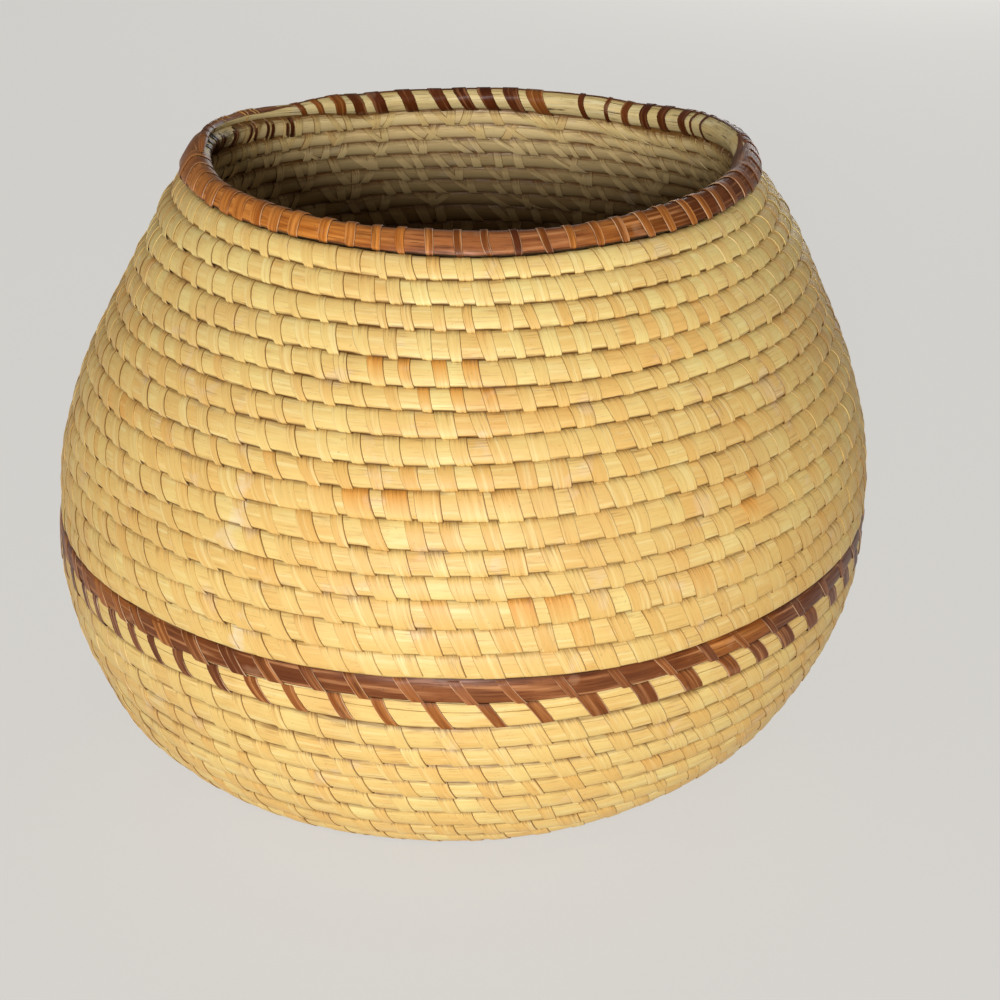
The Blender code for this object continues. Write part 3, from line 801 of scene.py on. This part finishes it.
# The ticks go on outside up to the belt's lower edge
tickWay = [(out + 0.25, up) for out, up in plainWay[:5]]
tickWay += [(5.32, 0.2), (5.34, 2.4), (5.2, 4.2), (4.85, 5.55), (0.0, 5.7), *plainWay[10:]]
addCasing("belt_course_bundle", "belt_course", belt + 1, belt, beltTurns, coreSection, sectionGrooves, bundle,
          {"belly": 0.1})
addCasing("belt_leaf_lengthwise", "belt_leaf", belt + 1, belt, beltTurns, beltSection, beltGrooves, dyedLeaf,
          {"dye": beltDye, "tone": beltToneAndHighlight, "toneSpread": 0.12})
addStitches("belt_stitches_strips", ["belt_stitches"], beltTurns, beltWay, wayGrooves, dyedLeaf,
            {"share": beltShare, "slant": 0.78, "reach": -0.9, "dye": beltStitchDye, "tone": 0.42,
             "taper": 0.4})
addCasing("tick_course_bundle", "tick_course", belt + 2, belt + 1, tickTurns, coreSection, sectionGrooves, bundle,
          {"belly": 0.1})
addCasing("tick_leaf_lengthwise", "tick_leaf", belt + 2, belt + 1, tickTurns, tickSection, tickGrooves, naturalLeaf,
          {"belly": 0.1, "tone": 0.7, "toneSpread": 0.08})
addStitches("tick_stitches_strips", ["tick_stitches"], tickTurns, tickWay, tickWayGrooves, dyedLeaf,
            {"share": tickShare, "slant": 0.6, "reach": -0.5, "dye": tickDye, "tone": 0.16,
             "taper": 0.4, "bow": tickBow})
print("belt and ticks sewn")

# The rim: the pale bundle inside, brown leaf over its outside and top, and the stitches round both
rimLeafSection = [
    (4.0, -5.4), (4.5, -5.5), (5.0, -4.7), (5.35, -2.4), (5.35, 0.5), (4.9, 2.8), (3.8, 4.5), (2.0, 5.4),
    (0.0, 5.65), (-1.8, 5.45), (-3.0, 4.95), (-2.9, 4.5), (-1.6, 4.85), (0.0, 5.0), (1.8, 4.8), (3.3, 3.9),
    (4.3, 2.4), (4.75, 0.4), (4.75, -2.2), (4.45, -4.2),
]
# Painted shade on the rim's tucked and hidden faces
rimLeafGrooves = [1, 0.8, 0.15, 0, 0, 0, 0, 0, 0, 0, 0.5, 1, 1, 1, 1, 1, 1, 1, 1, 1]
rimBundleGrooves = [1, 1, 1, 0.5, 0, 0, 0, 0, 0, 0, 0, 0, 0, 0, 0.2, 1, 1]
rimLeafBehind = [  # at the back it covers the outside alone
    (4.0, -5.4), (4.5, -5.5), (5.0, -4.7), (5.35, -2.6), (5.4, -0.8), (5.3, 0.9), (5.05, 2.3), (4.6, 3.5),
    (3.95, 4.5), (3.0, 5.2), (2.4, 5.35), (2.4, 4.85), (3.0, 4.35), (3.5, 3.7), (3.95, 2.9), (4.3, 2.0),
    (4.55, 1.0), (4.7, -0.2), (4.75, -2.2), (4.45, -4.2),
]
rimWay = [
    (3.6, -6.6), (4.75, -6.2), (5.1, -5.6), (5.5, -4.4), (5.8, -2.3), (5.8, 0.5), (5.35, 3.0), (4.1, 4.9),
    (2.1, 5.85), (0.0, 6.1), (-2.0, 5.85), (-3.6, 4.9), (-4.5, 2.6), (-4.85, 0.0), (-4.75, -2.4), (-4.2, -4.6),
    (-3.0, -6.2),
]
rimWayGrooves = [1, 0.45, 0.12, 0, 0, 0, 0, 0, 0, 0, 0, 0.02, 0, 0, 0.05, 0.4, 1]

# Round the rim: how orange and how pale its leaf and its stitches are, and the slant of the stitches inside. The
# leaf's paleness peaks at the front middle: a painted highlight over its own tone.
rimDye = byAzimuth([-180, -150, -100, -78, -66, -30, -22, -10, 14, 24, 40, 60, 80, 180],
                   [0.05, 0.05, 0.25, 0.5, 0.8, 0.95, 0.7, 0.15, 0.1, 0.45, 0.1, 0.05, 0.1, 0.05])
rimToneAndHighlight = byAzimuth([-180, -100, -60, -24, -8, 16, 30, 46, 60, 90, 180],
                    [0.3, 0.45, 0.5, 0.7, 1.0, 0.7, 0.3, 0.1, 0.1, 0.2, 0.3])
rimStitchDye = byAzimuth(
    [-180, -150, -142, -100, -78, -60, -16, -8, -1, 9, 16, 26, 40, 50, 58, 85, 150, 159, 166, 172],
    [0.0, 0.0, 0.35, 0.2, 0.4, 0.75, 0.85, 0.5, 0.05, 0.05, 0.5, 0.25, 0.7, 0.7, 0.2, 0.0, 0.0, 0.45, 0.4, 0.0], 0.07)
rimStitchTone = byAzimuth([-180, -130, -80, -50, -12, -3, 12, 20, 70, 90, 150, 160, 170, 180],
                          [0.08, 0.2, 0.35, 0.48, 0.45, 0.12, 0.1, 0.4, 0.48, 0.1, 0.05, 0.4, 0.3, 0.08])
rimSlant = byAzimuth([-180, -60, 60, 100, 145, 156, 180], [0.42, 0.3, 0.3, -0.1, 0.0, 0.36, 0.42])
# Only some stitches, at the front, show pale cut edges
rimEdges = byAzimuth([-180, -86, -76, -20, 10, 70, 80, 180], [0.7, 0.7, 0.95, 0.96, 1, 1, 0.7, 0.7])
# Right of the back, the stitches dip under the bundle's inner strips
rimSink = byAzimuth([66, 74, 109, 111], [0, 1.5, 1.5, 0])


# How far the brown leaf draws back from the rim's top: not at the front, nor on the thin end of the coil
def leafBehind(turns):
    return np.interp(turns, [0, 0.045, 0.07, 0.44, 0.475, 0.90, 0.925, 1.0], [0, 0, 1, 1, 0, 0, 1, 1])


# Ticks inside the back of the rim: azimuth at the lower end and width in mm
rimTicks = [(-141, 3.6), (-147.5, 6.6), (-153, 7), (-158.5, 7.4), (-166, 7.4), (-174, 7.4), (180, 6.6), (174, 7.6),
            (167.5, 8.6), (161.5, 9.4), (149.3, 3.4), (141.9, 2.2), (136.3, 4.2), (130.8, 5.4), (124.9, 5.6),
            (117.4, 6), (113.2, 1.6), (108.8, 1.7)]
# Ticks on the course under the coil's end, the same way, and the turns of those that bind the end itself
endTicks = [-133, -126.5, -120, -112, -105, -99.5, -95, -91, -87.5]
endTurns = [-0.063, -0.050, -0.036, 0.064]
rim = {
    "start": -110,  # the azimuth where the coil ends, in degrees
    "tickLean": 3.4,  # how far round a tick's slant carries it, in degrees
    "endTickLean": 3.2,
    "endTickApart": 0.0021,  # half the turns between the two strips of a tick under the coil's end
    "endTickWidth": 2.3,
    "lastEven": 0.915,
    "unevenness": 0.06,
    "endWidth": 3.6,
    "bundleStart": 0.014,  # turns by which the leaf covers the bundle's thin end
}


# Turns and widths of the rim's stitches: those ticks, started where their slant needs, and even ones elsewhere
def rimStitches():
    placed = [((rim["start"] - azimuth - rim["tickLean"]) / 360 % 1, width) for azimuth, width in rimTicks]
    last = max(placed)[0]
    count = round((rim["lastEven"] - last) * sewing["rimPerTurn"])
    uneven = dice.normal(0, rim["unevenness"], count) / sewing["rimPerTurn"]
    turns = np.linspace(last, rim["lastEven"], count + 1)[1:] + uneven
    widths = np.interp(atAzimuth(turns), [-100, -60, -48, -36, -22, -6, 14, 24, 60, 107],
                       [6.6, 7.4, 7, 4.8, 4, 3, 3, 3.8, 3.9, 3.2])
    placed += list(zip(turns, widths)) + [(turn, rim["endWidth"]) for turn in endTurns]
    return np.array(sorted(placed)).T


rimTurns, rimWidths = rimStitches()
tailEnd = coil["tailTurns"][0]
addCasing("rim_course_bundle", "rim_course", 1, tailEnd + rim["bundleStart"], rimTurns, coreSection,
          rimBundleGrooves, bundle, {"tone": 0.6})
addCasing("rim_leaf_cover", "rim_leaf", 1, tailEnd, rimTurns, rimLeafSection, rimLeafGrooves, dyedLeaf,
          {"dye": rimDye, "belly": 0.15, "tone": rimToneAndHighlight, "toneSpread": 0.16}, rimLeafBehind, leafBehind)
addStitches("rim_stitches_strips", ["rim_stitches"], rimTurns, rimWay, rimWayGrooves, dyedLeaf,
            {"widths": rimWidths, "widthSpread": 0.08, "slant": 0.18, "slantInside": rimSlant,
             "slantSpread": 0.06, "reach": -0.4, "dye": rimStitchDye, "tone": rimStitchTone, "toneSpread": 0.12,
             "edges": rimEdges, "sink": rimSink, "narrow": [0.7, 0.85, 0.95, 1, 1, 1, 0.85]})
endTickTurns = 1 + (rim["start"] - np.array(endTicks) - rim["endTickLean"]) / 360
endTickTurns = np.sort(np.concatenate([endTickTurns - rim["endTickApart"], endTickTurns + rim["endTickApart"]]))
endTickWay = [(0.5, 4.6), (-0.6, 4.9), (-1.8, 5.0), (-3.0, 4.9), (-4.0, 4.2), (-4.7, 3.0), (-5.05, 1.2),
              (-5.05, -0.8), (-4.85, -2.8), (-4.3, -4.8), (-3.0, -6.2)]
# The end ticks' groove list is painted shade where they tuck in
addStitches("rim_end_ticks_strips", [], endTickTurns, endTickWay, [1, 1, 1, 0.6] + [0.2] * 5 + [0.5, 1], dyedLeaf,
            {"widths": np.full(len(endTickTurns), rim["endTickWidth"]), "slant": 0.1,
                           "slantSpread": 0.06, "tone": 0.0, "toneSpread": 0.06, "edges": 0.5,
                           "slantInside": 0.62, "narrow": [1] * 7})
lashTurns = np.array([-0.024, -0.017, -0.009, 0.008, 0.0125, 0.017, 0.0215])
addStitches("rim_tail_lashing_strips", ["rim_tail_lashing"], lashTurns, rimWay, rimWayGrooves, naturalLeaf,
            {"widths": np.array([2.0, 1.4, 2.2, 1.2, 1.0, 1.5, 1.1]), "slant": 0.5,
                             "reach": -0.4, "tone": 0.1, "dye": 0.55})
print("rim bound")

# The start knot, a small tight roll of leaf, on a pad of leaf that closes the start of the coil round it
knot = {"height": 0.0072, "spread": 0.0012, "rounding": 0.0016, "segments": 24, "grain": 0.004}
pad = {"radius": 0.022, "low": 0.0016, "height": 0.0034}
low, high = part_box("start_knot")
middle = (low + high) / 2
knotRadius = (high.x - low.x) / 2 + knot["spread"]
shape = bmesh.new()
bmesh.ops.create_cone(shape, cap_ends=True, segments=knot["segments"], radius1=knotRadius, radius2=knotRadius,
                      depth=knot["height"])
bmesh.ops.bevel(shape, geom=[edge for edge in shape.edges if abs(edge.verts[0].co.z - edge.verts[1].co.z) < 1e-6],
                offset=knot["rounding"], segments=3, profile=0.5, affect="EDGES", material=-1)
made = bmesh.ops.create_cone(shape, cap_ends=True, segments=knot["segments"], radius1=pad["radius"],
                             radius2=pad["radius"], depth=pad["height"])
bmesh.ops.translate(shape, verts=made["verts"], vec=(0, 0, pad["low"] + (pad["height"] - knot["height"]) / 2))
bmesh.ops.translate(shape, verts=shape.verts, vec=(middle.x, middle.y, knot["height"] / 2))
mesh = meshOf(shape, "start_knot_roll")
places = readPoints(mesh)
right, behind = places[:, 0] - middle.x, places[:, 1] - middle.y
finishMesh(mesh, places, np.hypot(right, behind), np.arctan2(behind, right) * knot["grain"], {"tone": 0.4})
addPiece("start_knot_roll", mesh, naturalLeaf, ["start_knot"])

# Stage, light and camera
studio = {
    "floor": "#D6D3CE",
    "floorSeen": "#E6E4E0",
    "floorGlow": 0.72,  # how far the camera sees the floor paler than the lamp lights it
    "camera": (-0.004, -0.7731, 0.44872),
    "pan": 0.02857,
    "tilt": 0.43268,
    "roll": -0.00075,
    "lens": 64.81,
    "sky": 0.21,
    "skyTone": "#FBF7F0",
    "floorReach": 4,
    "floorDrop": 0.0004,
    "lampTarget": (0, 0, 0.13),
}


# A matt pale floor, as seen by the camera and by anything that shines
def floorMaterial(name, colour):
    material = bpy.data.materials.new(name)
    material.use_nodes = True
    tree = material.node_tree
    shader = tree.nodes["Principled BSDF"]
    shader.inputs["Base Color"].default_value = fromHex(colour)
    shader.inputs["Roughness"].default_value = 0.9
    seen = addNode(tree, "LightPath", output="Is Camera Ray")
    for kind in ("Is Glossy Ray", "Is Transmission Ray"):
        ray = addNode(tree, "LightPath", output=kind)
        seen = addNode(tree, "Math", {"operation": "MAXIMUM"}, {0: seen, 1: ray})
    share = addNode(tree, "Math", {"operation": "MULTIPLY", 1: studio["floorGlow"]}, {0: seen})
    glow = addNode(tree, "Emission", {"Color": fromHex(studio["floorSeen"]), "Strength": 1.0})
    mixed = addNode(tree, "MixShader", None, {0: share, 1: shader.outputs[0], 2: glow})
    tree.links.new(mixed, tree.nodes["Material Output"].inputs[0])
    return material


def addFloor():
    shape = bmesh.new()
    bmesh.ops.create_grid(shape, x_segments=1, y_segments=1, size=studio["floorReach"])
    bmesh.ops.translate(shape, verts=shape.verts, vec=(0, 0, -studio["floorDrop"]))
    mesh = meshOf(shape, "floor")
    mesh.materials.append(floorMaterial("paleFloor", studio["floor"]))
    addObject("floor", mesh)


def addLamp(name, place, size, power):
    lamp = bpy.data.lights.new(name, "AREA")
    lamp.shape = "DISK"
    lamp.size = size
    lamp.energy = power
    holder = addObject(name, lamp)
    holder.location = place
    holder.rotation_euler = (Vector(studio["lampTarget"]) - Vector(place)).to_track_quat("-Z", "Y").to_euler()


def addCamera():
    camera = addObject("camera", bpy.data.cameras.new("camera"))
    camera.data.lens = studio["lens"]
    camera.data.sensor_width = 36
    camera.data.clip_start = 0.02
    aim = Matrix.Rotation(-studio["pan"], 4, "Z") @ Matrix.Rotation(math.pi / 2 - studio["tilt"], 4, "X")
    camera.matrix_world = Matrix.Translation(studio["camera"]) @ aim @ Matrix.Rotation(studio["roll"], 4, "Z")
    bpy.context.scene.camera = camera


def addSky():
    world = bpy.data.worlds.new("studio")
    world.use_nodes = True
    background = world.node_tree.nodes["Background"]
    background.inputs["Color"].default_value = fromHex(studio["skyTone"])
    background.inputs["Strength"].default_value = studio["sky"]
    bpy.context.scene.world = world


addFloor()
addLamp("window", (-0.30, -2.6, 0.66), 0.6, 63)
addLamp("backFill", (0.9, 2.6, 0.42), 1.4, 16)
addSky()
addCamera()
bpy.context.scene.view_settings.view_transform = "Standard"
print("stage, light and camera set")
